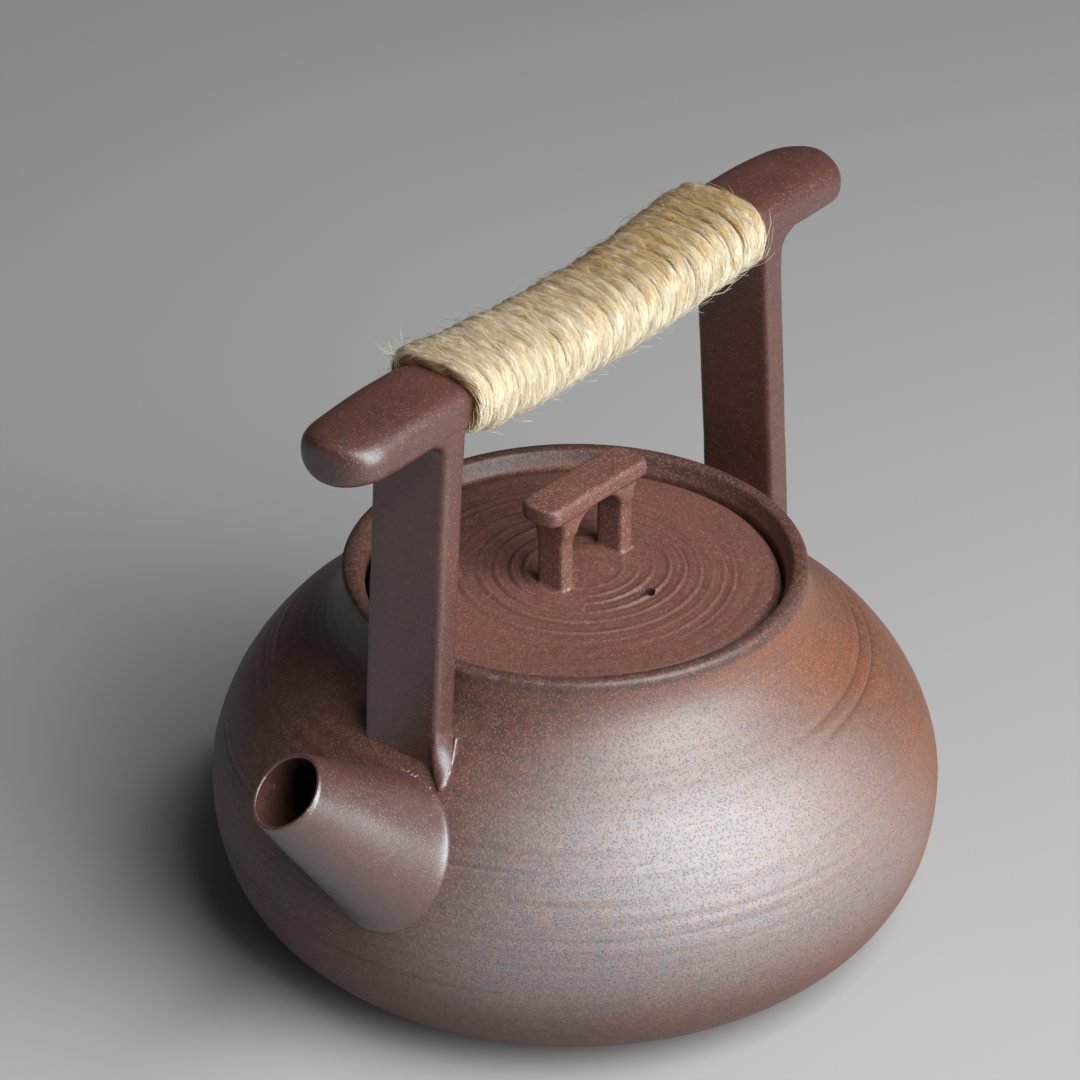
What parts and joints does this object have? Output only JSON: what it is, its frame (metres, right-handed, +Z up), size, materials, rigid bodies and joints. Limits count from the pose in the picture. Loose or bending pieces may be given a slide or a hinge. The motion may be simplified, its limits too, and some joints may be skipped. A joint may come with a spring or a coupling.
{
  "type": "teapot",
  "caption": "Low, round unglazed stoneware teapot with a collared mouth, a short spout, an overhead bar handle wrapped in twine, and a lift-off lid with a bridge knob.",
  "frame": {"origin": "middle of the flat base, on the surface it stands on", "axes": "+Z up, +X towards the spout, +Y to the left of someone who looks along +X"},
  "size_m": [0.1764, 0.15, 0.1438],
  "materials": {
    "body_clay": "unglazed red-brown stoneware, satin, sandy",
    "handle_clay": "unglazed dark purple-brown stoneware, satin",
    "lid_clay": "unglazed red-brown stoneware, satin, speckled",
    "jute_twine": "natural jute, matte, hairy"
  },
  "bodies": {
    "pot": {"pot_body": "body_clay", "collar_ring": "body_clay", "spout": "body_clay", "strainer_dome": "body_clay", "front_post": "handle_clay", "rear_post": "handle_clay", "handle_bar": "handle_clay", "twine_wrap": "jute_twine"},
    "lid": {"lid_plate": "lid_clay", "lid_flange": "lid_clay", "knob_front_leg": "lid_clay", "knob_rear_leg": "lid_clay", "knob_bar": "lid_clay"}
  },
  "joints": [
    {"name": "lid_lift", "type": "slide", "parent": "pot", "child": "lid", "axis": [0, 0, 1], "range_m": [0, 0.027]}
  ]
}
